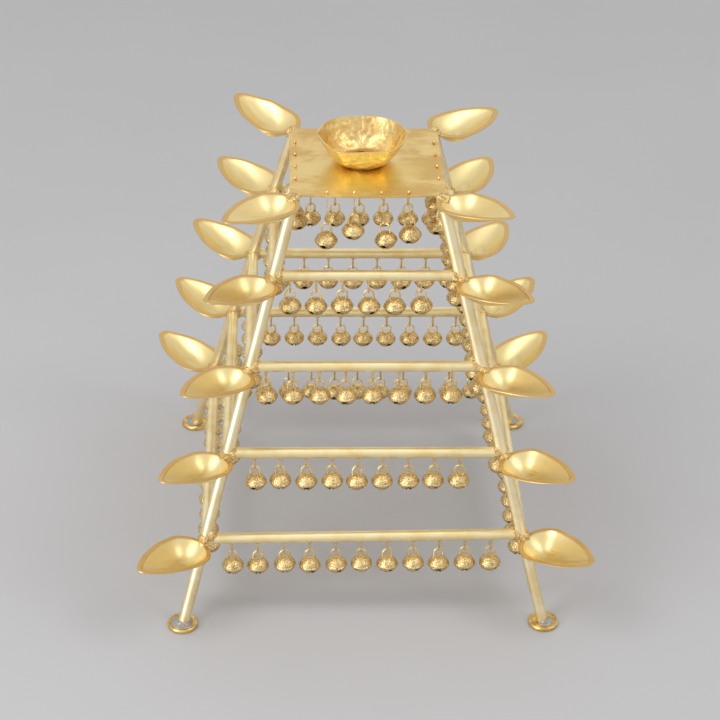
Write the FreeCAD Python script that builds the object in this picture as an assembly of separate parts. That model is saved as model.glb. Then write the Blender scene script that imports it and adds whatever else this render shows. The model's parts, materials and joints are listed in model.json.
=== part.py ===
import FreeCAD, Part
import math
import os

# A four-legged standing oil lamp (samai) in brass: four slanting tube legs on round feet carry a square
# plate with a pinched bowl lamp.  Four rings of crossbars tie the legs, a leaf lamp is brazed to each leg
# at the plate and at every crossbar, and rows of crotal bells hang under every bar and plate edge.
# Millimetres.  +Z is up, -Y is the front, and the origin is on the ground under the middle of the stand.

Vector = FreeCAD.Vector
Placement = FreeCAD.Placement
Rotation = FreeCAD.Rotation
UP = Vector(0, 0, 1)
ALONG = Vector(1, 0, 0)
OUTWARD = Vector(0, -1, 0)

# Driving dimensions of the stand
BASE_HALF = 127.0                 # half the spacing of the leg axes at the ground
TOP_HALF = 48.0                   # half their spacing at the plate
PLATE_TOP = 300.0
PLATE_WIDTH, PLATE_DEPTH, PLATE_SHEET = 104.0, 101.0, 0.8
TIER_HEIGHTS = {2: 245.5, 3: 184.0, 4: 124.0, 5: 65.5}
LEG_RADIUS = 4.0
BAR_RADIUS = 3.75
TUBE_WALL = 1.1
LOW_BAR_DROP = 3.0                # the lowest front bar is brazed this much lower at its left end
FOOT_RADIUS, FOOT_THICKNESS, FOOT_RIM = 10.6, 3.0, 1.8
FOOT_FLOOR = 2.0                  # the dished top of a foot, where the leg stands
SOLDER_INSET, SOLDER_COLLAR, SOLDER_HEIGHT = 1.2, 1.4, 1.5
BRAZE_RADIUS = 6.6

# Leaf lamp, in its own frame: x runs from the middle of the round root to the tip, the rim is at z = 0
LAMP_LENGTH = 60.5
ROOT_RADIUS = 18.5
TIP_RADIUS = 6.0
LIP_WIDTH = 3.0
LAMP_WALL = 0.9
LAMP_PITCH = 7.0                  # degrees that the tip is raised
LAMP_GAP = 2.2                    # from the leg's axis out to the root's rim
LAMP_DROP = 2.0                   # from the joint down to the root's rim
LAMP_TURNS = {("back_right", 2): 12.0, ("back_right", 3): 12.0, ("back_right", 1): -6.0,
              ("back_left", 1): -3.0, ("back_left", 2): -5.0, ("front_left", 1): -3.0}
# Each level of the hollow: height, radius of its round end, reach towards the tip, radius at the tip
HOLLOW_LEVELS = ((0.0, ROOT_RADIUS - LIP_WIDTH, 39.0, TIP_RADIUS - LIP_WIDTH),
                 (-3.0, 14.3, 32.0, 2.8),
                 (-6.0, 12.2, 24.0, 2.6),
                 (-9.0, 8.4, 14.5, 2.4),
                 (-10.4, 4.5, 7.0, 2.0))

# Crotal bell, in its own frame: the middle of the body is at the origin, its ring stands in the X-Z plane
BELL_RADIUS, BELL_HALF_HEIGHT, BELL_WALL = 7.4, 6.5, 0.8
BELT_RADIUS, BELT_HALF_HEIGHT = 7.7, 0.55
SLIT_WIDTH, SLIT_TOP = 1.1, -1.6
RING_HALF_WIDTH, RING_WIRE = 3.3, 0.7
RING_TOP = 12.5                   # from the middle of the body up to the ring's top wire
PELLET_RADIUS, PELLET_GAP = 1.9, 0.2
RUNNING_GAP = 0.3                 # between wires that turn on each other

# Rows of bells under the bars: how many, and how far the first and the last are from the leg axes
BELL_ROWS = {2: (6, 10.7, 25.9), 3: (8, 10.7, 19.8), 4: (9, 18.4, 28.8), 5: (11, 17.5, 21.4)}
RING_DROP = 11.0                  # from a bar's axis down to the ring's top wire, where the bells turn
LINK_HALF_WIDTH, LINK_WIRE = 1.6, 0.45

# Rows of bells under the plate's edges
HOLE_INSET = 4.0                  # from the plate's edge in to the row of hanger holes
HOLE_RADIUS = 0.5
PLATE_BELL_PITCH = 18.1
PLATE_BELL_DROPS = (35.5, 29.5, 35.5, 32.5)
BEAD_RADIUS = 1.15
EYE_RADIUS, EYE_WIRE = 1.25, 0.35
EYE_GAP = 0.2                     # from the plate down to the hanger's eye
LOOP_HALF_WIDTH, LOOP_WIRE, LOOP_GAP = 1.1, 0.25, 0.05

# Bowl lamp on the plate: the rim's corner points from its middle, and each level's height and scale
BOWL_X = -2.6
BOWL_LIP, BOWL_BACK = 30.7, 28.5
BOWL_CORNER, BOWL_SHOULDER = (20.5, -26.0), (28.6, -13.5)
BOWL_WALL = 1.0
BOWL_LEVELS = ((0.0, 0.38), (2.5, 0.58), (7.5, 0.79), (14.0, 0.925), (21.0, 1.0))
BOWL_SOLDER_WIDTH, BOWL_SOLDER_HEIGHT = 2.5, 1.2

CORNERS = {"front_left": (-1, -1), "front_right": (1, -1), "back_right": (1, 1), "back_left": (-1, 1)}
SIDES = {"front": 0, "right": 90, "back": 180, "left": 270}
PLATE_TIER = 1


def save(name, solids):
    """Write one node: a single solid, or a group of like solids."""
    Part.makeCompound(solids).exportStep("parts/" + name + ".step")


def moved(shape, placement):
    copy = shape.copy()
    copy.Placement = placement.multiply(copy.Placement)
    return copy


def turned(shape, axis, degrees):
    return moved(shape, Placement(Vector(), Rotation(axis, degrees)))


# Legs and feet

def leg_offset(height):
    """Half the spacing of the leg axes at a height."""
    return BASE_HALF + (TOP_HALF - BASE_HALF) * height / PLATE_TOP


def leg_point(corner, height):
    side_x, side_y = CORNERS[corner]
    return Vector(side_x * leg_offset(height), side_y * leg_offset(height), height)


def leg_rod(corner, radius):
    """A round rod on a leg's axis that runs past the ground and the plate."""
    low, high = leg_point(corner, -20.0), leg_point(corner, PLATE_TOP + 20.0)
    return Part.makeCylinder(radius, (high - low).Length, low, high - low)


def make_leg(corner):
    """A tube cut level at the foot's floor and under the plate."""
    tube = leg_rod(corner, LEG_RADIUS).cut(leg_rod(corner, LEG_RADIUS - TUBE_WALL))
    reach = 2 * BASE_HALF
    height = PLATE_TOP - PLATE_SHEET - FOOT_FLOOR
    return tube.common(Part.makeBox(2 * reach, 2 * reach, height, Vector(-reach, -reach, FOOT_FLOOR)))


def make_foot(corner):
    """A round disc with a rounded rim and a shallow dish in its top."""
    ground = leg_point(corner, 0.0)
    disc = Part.makeCylinder(FOOT_RADIUS, FOOT_THICKNESS, ground)
    top_edges = [edge for edge in disc.Edges if edge.Closed and edge.CenterOfMass.z > FOOT_FLOOR]
    disc = disc.makeFillet(FOOT_THICKNESS - FOOT_FLOOR, top_edges)
    dish = Part.makeCylinder(FOOT_RADIUS - FOOT_RIM, FOOT_THICKNESS, ground + UP * FOOT_FLOOR)
    return disc.cut(dish)


def make_foot_solder(corner):
    """A low puddle of solder in the dish, round the end of the leg."""
    low_radius, high_radius = FOOT_RADIUS - FOOT_RIM - SOLDER_INSET, LEG_RADIUS + SOLDER_COLLAR
    puddle = Part.makeCone(low_radius, high_radius, SOLDER_HEIGHT, leg_point(corner, FOOT_FLOOR))
    return puddle.cut(leg_rod(corner, LEG_RADIUS))


# Crossbars

def turned_placement(side):
    return Placement(Vector(), Rotation(UP, SIDES[side]))


def bar_frame(tier, side):
    """The frame of a bar or a row: X runs along it, -Y is outward, the origin is the bar's middle."""
    height, tilt = TIER_HEIGHTS[tier], 0.0
    if (tier, side) == (5, "front"):
        height -= LOW_BAR_DROP / 2
        tilt = math.degrees(math.atan(LOW_BAR_DROP / (2 * leg_offset(height))))
    outward = turned_placement(side)
    middle = Placement(Vector(0, -leg_offset(TIER_HEIGHTS[tier]), height), Rotation(OUTWARD, tilt))
    return outward.multiply(middle)


def bar_rod(tier, side, radius):
    half = leg_offset(TIER_HEIGHTS[tier])
    rod = Part.makeCylinder(radius, 2 * half, Vector(-half, 0, 0), ALONG)
    return moved(rod, bar_frame(tier, side))


def make_bar(tier, side):
    """A tube between two legs, its ends coped to fit round them."""
    bar = bar_rod(tier, side, BAR_RADIUS).cut(bar_rod(tier, side, BAR_RADIUS - TUBE_WALL))
    return bar.cut([leg_rod(corner, LEG_RADIUS) for corner in CORNERS])


# Top plate

def hole_line(side):
    """The frame of a plate edge's row of holes: X runs along it, the origin is on the plate's top."""
    half = PLATE_DEPTH / 2 if side in ("front", "back") else PLATE_WIDTH / 2
    return turned_placement(side).multiply(Placement(Vector(0, HOLE_INSET - half, PLATE_TOP), Rotation()))


def hole_places():
    """The places along an edge of its hanger holes."""
    middle = (len(PLATE_BELL_DROPS) - 1) / 2
    return [PLATE_BELL_PITCH * (index - middle) for index in range(len(PLATE_BELL_DROPS))]


def make_plate():
    """A thin square sheet with a row of small holes along each edge."""
    low = Vector(-PLATE_WIDTH / 2, -PLATE_DEPTH / 2, PLATE_TOP - PLATE_SHEET)
    sheet = Part.makeBox(PLATE_WIDTH, PLATE_DEPTH, PLATE_SHEET, low)
    drills = []
    for side in SIDES:
        for place in hole_places():
            drill = Part.makeCylinder(HOLE_RADIUS, 2 * PLATE_SHEET, Vector(place, 0, -1.5 * PLATE_SHEET))
            drills.append(moved(drill, hole_line(side)))
    return sheet.cut(drills)


# Leaf lamps

def leaf(height, root_radius, reach, tip_radius):
    """A closed leaf outline: a round root about x = 0, two long arcs tangent to it, and a round tip."""
    tip_x = reach - tip_radius
    side_radius = (tip_x**2 + root_radius**2 - tip_radius**2) / (2 * (root_radius - tip_radius))
    side_middle = root_radius - side_radius
    touch = math.atan2(-side_middle, tip_x)
    half_way = (touch + math.pi / 2) / 2

    def on_side(angle, mirror):
        breadth = side_middle + side_radius * math.sin(angle)
        return Vector(side_radius * math.cos(angle), mirror * breadth, height)

    root = Part.Arc(Vector(0, root_radius, height), Vector(-root_radius, 0, height),
                    Vector(0, -root_radius, height))
    near = Part.Arc(Vector(0, -root_radius, height), on_side(half_way, -1), on_side(touch, -1))
    tip = Part.Arc(on_side(touch, -1), Vector(reach, 0, height), on_side(touch, 1))
    far = Part.Arc(on_side(touch, 1), on_side(half_way, 1), Vector(0, root_radius, height))
    return Part.Wire([arc.toShape() for arc in (root, near, tip, far)])


def make_leaf_lamp():
    """A leaf dish with a flat lip and a deep round bowl that runs out in a spout towards the tip."""
    lip_outline = leaf(-LAMP_WALL, ROOT_RADIUS, LAMP_LENGTH - ROOT_RADIUS, TIP_RADIUS)
    lip = Part.Face(lip_outline).extrude(UP * LAMP_WALL)
    outer_levels = [leaf(height - LAMP_WALL, root + LAMP_WALL, reach + LAMP_WALL, tip + LAMP_WALL)
                    for height, root, reach, tip in HOLLOW_LEVELS]
    inner_levels = [leaf(height, root, reach, tip) for height, root, reach, tip in HOLLOW_LEVELS]
    outer = Part.makeLoft(outer_levels, True, True)
    inner = Part.makeLoft(inner_levels, True, True)
    return lip.fuse(outer).cut(inner).removeSplitter()


def joint_height(tier):
    return PLATE_TOP if tier == PLATE_TIER else TIER_HEIGHTS[tier]


def lamp_frame(corner, tier):
    """A lamp points diagonally out from its leg, with its tip raised."""
    side_x, side_y = CORNERS[corner]
    heading = math.degrees(math.atan2(side_y, side_x)) + LAMP_TURNS.get((corner, tier), 0.0)
    joint = leg_point(corner, joint_height(tier))
    turn = Placement(joint, Rotation(UP, heading))
    pitch = Placement(Vector(LAMP_GAP, 0, -LAMP_DROP), Rotation(OUTWARD, LAMP_PITCH))
    return turn.multiply(pitch).multiply(Placement(Vector(ROOT_RADIUS, 0, 0), Rotation()))


def make_lamp(lamp, corner, tier):
    """One leaf lamp, its root notched round the leg."""
    return moved(lamp, lamp_frame(corner, tier)).cut(leg_rod(corner, LEG_RADIUS))


# Brazing at the joints

def make_braze(corner, tier, lamp):
    """A lump of brazing that fills the corner between a leg, its two bars and its lamp."""
    lump = Part.makeSphere(BRAZE_RADIUS, leg_point(corner, joint_height(tier)))
    neighbours = [leg_rod(corner, LEG_RADIUS), lamp]
    if tier == PLATE_TIER:
        reach = 2 * BRAZE_RADIUS
        high = leg_point(corner, PLATE_TOP) - Vector(reach, reach, PLATE_SHEET)
        neighbours.append(Part.makeBox(2 * reach, 2 * reach, 2 * reach, high))
    else:
        neighbours += [bar_rod(tier, side, BAR_RADIUS) for side in SIDES]
    return max(lump.cut(neighbours).Solids, key=lambda solid: solid.Volume)


# Bells and what they hang on

def bent_wire(half_width, wire_radius, arc_height, end_height):
    """A wire in the X-Z plane: half a circle about arc_height, and two straight ends to end_height."""
    upward = end_height > arc_height
    section = Part.Face(Part.Wire(Part.makeCircle(wire_radius, Vector(half_width, 0, arc_height), UP)))
    arc = section.revolve(Vector(0, 0, arc_height), Vector(0, 1 if upward else -1, 0), 180)
    length, low = abs(end_height - arc_height), min(end_height, arc_height)
    ends = [Part.makeCylinder(wire_radius, length, Vector(x, 0, low)) for x in (-half_width, half_width)]
    return arc.fuse(ends).removeSplitter()


def bell_body(wall):
    """Two equal ball caps that meet at the belt, taken in by a wall's thickness."""
    ball = (BELL_RADIUS**2 + BELL_HALF_HEIGHT**2) / (2 * BELL_HALF_HEIGHT)
    offset = ball - BELL_HALF_HEIGHT
    caps = [Part.makeSphere(ball - wall, Vector(0, 0, height)) for height in (-offset, offset)]
    return caps[0].common(caps[1])


def make_bell():
    """A hollow crotal bell: two domes that meet in a belt, a crossed slit below and a wire ring above."""
    belt = Part.makeCylinder(BELT_RADIUS, 2 * BELT_HALF_HEIGHT, Vector(0, 0, -BELT_HALF_HEIGHT))
    ring = bent_wire(RING_HALF_WIDTH, RING_WIRE, RING_TOP - RING_HALF_WIDTH, 0.0)
    slit_depth = BELL_HALF_HEIGHT + SLIT_TOP + 1.0
    slit = Part.makeBox(4 * BELL_RADIUS, SLIT_WIDTH, slit_depth,
                        Vector(-2 * BELL_RADIUS, -SLIT_WIDTH / 2, SLIT_TOP - slit_depth))
    whole = bell_body(0.0).fuse([belt, ring])
    return whole.cut([bell_body(BELL_WALL), turned(slit, UP, 45), turned(slit, UP, 135)]).removeSplitter()


def make_pellet():
    """The loose ball inside a bell."""
    floor = BELL_WALL - BELL_HALF_HEIGHT
    return Part.makeSphere(PELLET_RADIUS, Vector(0, 0, floor + PELLET_GAP + PELLET_RADIUS))


def bell_places(tier):
    """The places along a bar of its bells, from the left as seen from outside."""
    count, first_margin, last_margin = BELL_ROWS[tier]
    half = leg_offset(TIER_HEIGHTS[tier])
    pitch = (2 * half - first_margin - last_margin) / (count - 1)
    return [first_margin - half + pitch * index for index in range(count)]


def along(frame, place, drop):
    """The frame of a piece in a row: so far along the row and so far below it."""
    return frame.multiply(Placement(Vector(place, 0, -drop), Rotation()))


def make_link():
    """A hairpin of wire under a bar: it passes through a bell's ring, and its ends meet the bar."""
    arc_height = LINK_HALF_WIDTH - LINK_WIRE - RING_WIRE - RUNNING_GAP - RING_DROP
    hairpin = turned(bent_wire(LINK_HALF_WIDTH, LINK_WIRE, arc_height, 0.0), UP, 90)
    bar = Part.makeCylinder(BAR_RADIUS, 4 * BAR_RADIUS, Vector(-2 * BAR_RADIUS, 0, 0), ALONG)
    return hairpin.cut(bar)


def hinge_depth():
    """From the plate's top down to the bottom wire of a hanger's eye, where a plate bell turns."""
    return PLATE_SHEET + EYE_GAP + EYE_WIRE + 2 * EYE_RADIUS


def make_hanger():
    """A bead on the plate, with a pin down through the hole to a small wire eye below."""
    seat = math.sqrt(BEAD_RADIUS**2 - HOLE_RADIUS**2)
    bead = Part.makeSphere(BEAD_RADIUS, UP * seat)
    eye_middle = EYE_RADIUS - hinge_depth()
    eye = Part.makeTorus(EYE_RADIUS, EYE_WIRE, UP * eye_middle, OUTWARD)
    pin_low = eye_middle + EYE_RADIUS
    pin = Part.makeCylinder(EYE_WIRE, seat - pin_low, UP * pin_low)
    return bead.fuse([eye, pin]).removeSplitter()


def make_wire_loop(drop):
    """A long closed loop of thin wire, from a hanger's eye down through the ring of a plate bell."""
    high = RUNNING_GAP + EYE_WIRE + LOOP_WIRE - LOOP_HALF_WIDTH - hinge_depth()
    low = LOOP_HALF_WIDTH - RING_WIRE - LOOP_WIRE - LOOP_GAP + RING_TOP - drop
    middle = (high + low) / 2
    upper = bent_wire(LOOP_HALF_WIDTH, LOOP_WIRE, high, middle)
    lower = bent_wire(LOOP_HALF_WIDTH, LOOP_WIRE, low, middle)
    return turned(upper.fuse(lower).removeSplitter(), UP, 90)


# Bowl lamp on the plate

def bowl_outline(height, scale, inset):
    """The bowl's outline at a level: a round back, two pinched lips and a flattened front."""
    def point(x, y):
        shrink = scale - inset / BOWL_BACK
        return Vector(BOWL_X + x * shrink, y * shrink, PLATE_TOP + height)

    corner_x, corner_y = BOWL_CORNER
    shoulder_x, shoulder_y = BOWL_SHOULDER
    back = Part.Arc(point(BOWL_LIP, 0), point(0, BOWL_BACK), point(-BOWL_LIP, 0))
    left = Part.Arc(point(-BOWL_LIP, 0), point(-shoulder_x, shoulder_y), point(-corner_x, corner_y))
    right = Part.Arc(point(corner_x, corner_y), point(shoulder_x, shoulder_y), point(BOWL_LIP, 0))
    front = Part.makeLine(point(-corner_x, corner_y), point(corner_x, corner_y))
    return Part.Wire([back.toShape(), left.toShape(), front, right.toShape()])


def bowl_solid(inset, lift):
    levels = [bowl_outline(height + lift, scale, inset) for height, scale in BOWL_LEVELS]
    return Part.makeLoft(levels, True, True)


def make_bowl():
    """A thin beaten bowl that stands on its flat bottom."""
    return bowl_solid(0.0, 0.0).cut(bowl_solid(BOWL_WALL, BOWL_WALL))


def make_bowl_solder():
    """A low ring of solder round the bowl's bottom, which holds it to the plate."""
    radius = BOWL_LEVELS[0][1] * BOWL_LIP
    cone = Part.makeCone(radius + BOWL_SOLDER_WIDTH, radius, BOWL_SOLDER_HEIGHT,
                         Vector(BOWL_X, 0, PLATE_TOP))
    return cone.cut(bowl_solid(0.0, 0.0))


# The whole stand

def build():
    os.makedirs("parts", exist_ok=True)
    save("foot_discs", [make_foot(corner) for corner in CORNERS])
    save("foot_solder", [make_foot_solder(corner) for corner in CORNERS])
    for corner in CORNERS:
        save("leg_" + corner, [make_leg(corner)])
    for tier in TIER_HEIGHTS:
        save("crossbars_tier_%d" % tier, [make_bar(tier, side) for side in SIDES])
    save("top_plate", [make_plate()])
    save("bowl_lamp", [make_bowl()])
    save("bowl_solder", [make_bowl_solder()])

    lamp = make_leaf_lamp()
    brazes = []
    for tier in (PLATE_TIER, *TIER_HEIGHTS):
        for corner in CORNERS:
            placed = make_lamp(lamp, corner, tier)
            save("leaf_lamp_%s_tier_%d" % (corner, tier), [placed])
            brazes.append(make_braze(corner, tier, placed))
    save("brazed_joints", brazes)

    bell_and_pellet, link, hanger = (make_bell(), make_pellet()), make_link(), make_hanger()
    links, hangers = [], []
    for side in SIDES:
        for tier in TIER_HEIGHTS:
            bells = []
            for place in bell_places(tier):
                frame = along(bar_frame(tier, side), place, RING_DROP + RING_TOP)
                bells += [moved(piece, frame) for piece in bell_and_pellet]
                links.append(moved(link, along(bar_frame(tier, side), place, 0.0)))
            save("bells_%s_tier_%d" % (side, tier), bells)

        bells, loops = [], []
        for place, drop in zip(hole_places(), PLATE_BELL_DROPS):
            hole = along(hole_line(side), place, 0.0)
            hangers.append(moved(hanger, hole))
            loops.append(moved(make_wire_loop(drop), hole))
            bells += [moved(piece, along(hole, 0.0, drop)) for piece in bell_and_pellet]
        save("bells_%s_tier_%d" % (side, PLATE_TIER), bells)
        save("bell_wires_" + side, loops)
    save("bell_links", links)
    save("plate_hangers", hangers)


build()
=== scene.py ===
import json
import math

import bpy
import numpy as np
from mathutils import Matrix, Vector


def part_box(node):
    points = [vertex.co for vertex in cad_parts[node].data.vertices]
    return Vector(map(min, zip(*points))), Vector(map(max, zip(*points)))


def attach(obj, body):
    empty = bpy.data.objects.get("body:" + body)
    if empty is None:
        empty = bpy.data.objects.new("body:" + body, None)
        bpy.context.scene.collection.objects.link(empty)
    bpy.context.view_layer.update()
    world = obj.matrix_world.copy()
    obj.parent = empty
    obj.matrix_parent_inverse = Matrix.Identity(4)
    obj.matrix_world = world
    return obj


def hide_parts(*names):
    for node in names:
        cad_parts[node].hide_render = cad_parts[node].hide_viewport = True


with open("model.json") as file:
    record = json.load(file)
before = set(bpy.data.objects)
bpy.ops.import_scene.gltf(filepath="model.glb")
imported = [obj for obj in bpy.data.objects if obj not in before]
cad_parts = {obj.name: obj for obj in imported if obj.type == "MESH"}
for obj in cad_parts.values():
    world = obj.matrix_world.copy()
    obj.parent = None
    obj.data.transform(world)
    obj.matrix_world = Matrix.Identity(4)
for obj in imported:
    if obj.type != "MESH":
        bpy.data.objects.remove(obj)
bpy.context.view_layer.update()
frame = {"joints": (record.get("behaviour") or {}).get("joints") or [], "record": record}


# Legs: four slanting lengths of drawn brass tube, cut level at both ends.  They stand in their feet below
# and are brazed to the plate above, and every crossbar and leaf lamp is brazed to them.

CORNERS = {"front_left": (-1, -1), "front_right": (1, -1), "back_right": (1, 1), "back_left": (-1, 1)}
SIDES = {"front": 0, "right": 90, "back": 180, "left": 270}
LEG_RADIUS = 0.0040
RING_DROP = 0.0110                # from a crossbar's axis down to the line where its bells swing

hinges = {joint["name"]: Vector(joint["pos_m"]) for joint in frame["joints"]}
bar_heights = {tier: hinges["swing_back_tier_%d" % tier].z + RING_DROP for tier in (2, 3, 4, 5)}
rest_faces = {mount["name"]: Vector(mount["pos_m"]) for mount in frame["record"]["mounts"]}
plate_low, plate_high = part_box("top_plate")
base_half = rest_faces["rest_face_back_right"].x
bar_halves = {tier: hinges["swing_back_tier_%d" % tier].y for tier in bar_heights}
leg_slope = (bar_halves[2] - base_half) / bar_heights[2]


def leg_point(corner, height):
    """The place of a leg's axis at a height: it leans in evenly from the ground up."""
    side_x, side_y = CORNERS[corner]
    half = base_half + leg_slope * height
    return np.array([side_x * half, side_y * half, height])


class Skin:
    """A closed surface: its points, its faces of four and of three, each point's own-frame place and its
    share of painted shade.
    """

    def __init__(self, points, quads, triangles, own=None, dark=None):
        self.points, self.quads, self.triangles = points, quads, triangles
        self.own = points if own is None else own
        self.dark = np.zeros(len(points)) if dark is None else dark

    def placed(self, matrices):
        """One copy of the surface for each matrix, joined as one."""
        matrices = np.array([np.array(matrix) for matrix in matrices])
        count, size = len(matrices), len(self.points)
        points = np.einsum("mij,nj->mni", matrices[:, :3, :3], self.points) + matrices[:, None, :3, 3]
        shift = (np.arange(count) * size)[:, None, None]
        return Skin(points.reshape(-1, 3), (self.quads + shift).reshape(-1, 4),
                    (self.triangles + shift).reshape(-1, 3),
                    np.tile(self.own, (count, 1)), np.tile(self.dark, count))


def skin(rings, own=None, dark=None, looped=False):
    """A grid of rings, each closed on itself; the first and last end in a fan unless the rings loop."""
    rows, columns = rings.shape[:2]
    row = np.arange(rows if looped else rows - 1)[:, None]
    column = np.arange(columns)[None, :]
    here, above = row * columns, (row + 1) % rows * columns
    beside = (column + 1) % columns
    quads = np.stack([here + column, here + beside, above + beside, above + column], -1).reshape(-1, 4)
    points = rings.reshape(-1, 3)
    own = points if own is None else own.reshape(-1, 3)
    dark = np.zeros(len(points)) if dark is None else dark.reshape(-1)
    triangles = np.zeros((0, 3), int)
    if not looped:
        first, last = column[0], (rows - 1) * columns + column[0]
        poles = len(points), len(points) + 1
        low = np.stack([np.full(columns, poles[0]), (first + 1) % columns, first], -1)
        high = np.stack([np.full(columns, poles[1]), last, last - column[0] + beside[0]], -1)
        triangles = np.concatenate([low, high])
        ends = [0, -1]
        own_rings = own.reshape(rows, columns, 3)
        points = np.concatenate([points, rings[ends].mean(1)])
        own = np.concatenate([own, own_rings[ends].mean(1)])
        dark = np.concatenate([dark, dark.reshape(rows, columns)[ends].mean(1)])
    return Skin(points, quads, triangles, own, dark)


def piece(name, skins, finish, crease=40.0):
    """One object at the origin from several surfaces, smooth but for edges sharper than the crease."""
    start = np.cumsum([0] + [len(one.points) for one in skins])[:-1]
    points = np.concatenate([one.points for one in skins])
    quads = np.concatenate([one.quads + shift for one, shift in zip(skins, start)])
    triangles = np.concatenate([one.triangles + shift for one, shift in zip(skins, start)])
    mesh = bpy.data.meshes.new(name)
    mesh.from_pydata(points.tolist(), [], quads.tolist() + triangles.tolist())
    own = mesh.attributes.new("own", "FLOAT_VECTOR", "POINT")
    own.data.foreach_set("vector", np.concatenate([one.own for one in skins]).ravel())
    dark = mesh.attributes.new("dark", "FLOAT", "POINT")
    dark.data.foreach_set("value", np.concatenate([one.dark for one in skins]))
    mesh.shade_smooth()
    mesh.set_sharp_from_angle(angle=math.radians(crease))
    mesh.materials.append(finish.material)
    made = bpy.data.objects.new(name, mesh)
    bpy.context.scene.collection.objects.link(made)
    return made


def tube(start, end, radius, rows=40, sides=32, level=False):
    """A round rod: start + t (end - start) + r (cos a, sin a) across it.

    Its own frame holds (r cos a, r sin a, length).
    """
    start, end = np.array(start), np.array(end)
    length = np.linalg.norm(end - start)
    along = (end - start) / length
    across = np.cross(along, [0.0, 0.0, 1.0] if abs(along[2]) < 0.7 else [0.0, 1.0, 0.0])
    across /= np.linalg.norm(across)
    upright = np.cross(along, across)
    t = np.linspace(0, 1, rows)[:, None, None]
    angle = np.linspace(0, 2 * math.pi, sides, False)[None, :, None]
    reach = radius * (np.cos(angle) * across + np.sin(angle) * upright)
    if level:
        reach = reach - along * (reach[..., 2:] / along[2])
    rings = start + t * (end - start) + reach
    flat = np.ones_like(t)
    own = np.concatenate([radius * np.cos(angle) * flat, radius * np.sin(angle) * flat,
                          t * length * np.ones_like(angle)], -1)
    return skin(rings, own)


class Signal:
    """A socket in a finish; arithmetic on it adds a Math node."""

    def __init__(self, finish, socket):
        self.finish, self.socket = finish, socket

    def math(self, operation, *values):
        return self.finish.add("ShaderNodeMath", {"operation": operation}, dict(enumerate(values)))

    def __add__(self, other):
        return self.math("ADD", self, other)

    def __sub__(self, other):
        return self.math("SUBTRACT", self, other)

    def __rsub__(self, other):
        return self.math("SUBTRACT", other, self)

    def __mul__(self, other):
        return self.math("MULTIPLY", self, other)

    def __truediv__(self, other):
        return self.math("DIVIDE", self, other)

    __radd__, __rmul__ = __add__, __mul__


class Finish:
    """A material being put together from nodes."""

    def __init__(self, name, **constants):
        self.material = bpy.data.materials.new(name)
        self.material.use_nodes = True
        self.tree = self.material.node_tree
        self.shader = self.tree.nodes["Principled BSDF"]
        for socket, value in constants.items():
            self.shader.inputs[socket.replace("_", " ")].default_value = value

    def add(self, kind, settings, inputs, output=0):
        """One node: its settings, the values or links of its sockets, and the output that is wanted."""
        node = self.tree.nodes.new(kind)
        for key, value in settings.items():
            if key == "stops":
                for (place, colour), stop in zip(value, [*node.color_ramp.elements] +
                                                 [node.color_ramp.elements.new(0.5) for _ in value[2:]]):
                    stop.position, stop.color = place, colour
            else:
                setattr(node, key, value)
        for key, value in inputs.items():
            self.feed(node.inputs[key], value)
        return Signal(self, node.outputs[output])

    def feed(self, socket, value):
        if isinstance(value, Signal):
            self.tree.links.new(value.socket, socket)
        else:
            socket.default_value = value

    def place(self):
        """Where a point is on the object."""
        return self.add("ShaderNodeTexCoord", {}, {}, "Object")

    def own(self):
        """Where a point is in its piece's own frame."""
        return self.add("ShaderNodeAttribute", {"attribute_name": "own"}, {}, "Vector")

    def dark(self):
        return self.add("ShaderNodeAttribute", {"attribute_name": "dark"}, {}, "Fac")

    def stretch(self, vector, scale):
        return self.add("ShaderNodeMapping", {}, {"Vector": vector, "Scale": scale})

    def noise(self, vector, scale, detail=3.0, roughness=0.5):
        """A cloudy pattern from 0 to 1 with so many patches to the metre."""
        return self.add("ShaderNodeTexNoise", {},
                        {"Vector": vector, "Scale": scale, "Detail": detail, "Roughness": roughness})

    def ease(self, value, low, high):
        """0 below low, 1 above high, and a smooth step between."""
        return self.add("ShaderNodeMapRange", {"interpolation_type": "SMOOTHSTEP"},
                        {"Value": value, "From Min": low, "From Max": high})

    def mix(self, share, first, second):
        """A colour between two."""
        return self.add("ShaderNodeMix", {"data_type": "RGBA"}, {0: share, 6: first, 7: second}, 2)

    def part(self, vector, axis):
        return self.add("ShaderNodeSeparateXYZ", {}, {0: vector}, axis)

    def bump(self, height, distance, strength=1.0):
        bumped = self.add("ShaderNodeBump", {},
                          {"Height": height, "Distance": distance, "Strength": strength})
        self.feed(self.shader.inputs["Normal"], bumped)

    def wear(self, colour, roughness):
        self.feed(self.shader.inputs["Base Color"], colour)
        self.feed(self.shader.inputs["Roughness"], roughness)


PALE_BRASS = (0.97, 0.85, 0.57, 1.0)
DEEP_BRASS = (0.89, 0.71, 0.38, 1.0)


def drawn_brass(name, pale=PALE_BRASS, deep=DEEP_BRASS):
    """Satin tube: long faint draw lines, cloudy rubbed patches and a fine grain."""
    finish = Finish(name, Metallic=1.0)
    lines = finish.noise(finish.stretch(finish.own(), (1500.0, 1500.0, 22.0)), 1.0, 2.0)
    clouds = finish.noise(finish.place(), 70.0, 4.0, 0.6)
    grain = finish.noise(finish.place(), 2600.0, 2.0)
    stain = finish.ease(clouds * 0.7 + lines * 0.3, 0.42, 0.62)
    finish.wear(finish.mix(stain, pale, deep), clouds * 0.16 + lines * 0.10 + 0.28)
    finish.bump(lines * 0.6 + grain * 0.5, 0.00012, 0.5)
    return finish


leg_brass = drawn_brass("leg_brass")
foot_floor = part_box("leg_front_left")[0].z
for corner in CORNERS:
    rod = tube(leg_point(corner, foot_floor), leg_point(corner, plate_low.z), LEG_RADIUS, 60, 40, True)
    leg = piece(corner + "_leg", [rod], leg_brass)
    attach(leg, "stand")
    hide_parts("leg_" + corner)


# Feet: turned brass discs with a rounded rim and a shallow dish, in which the leg's end is soldered.

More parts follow.
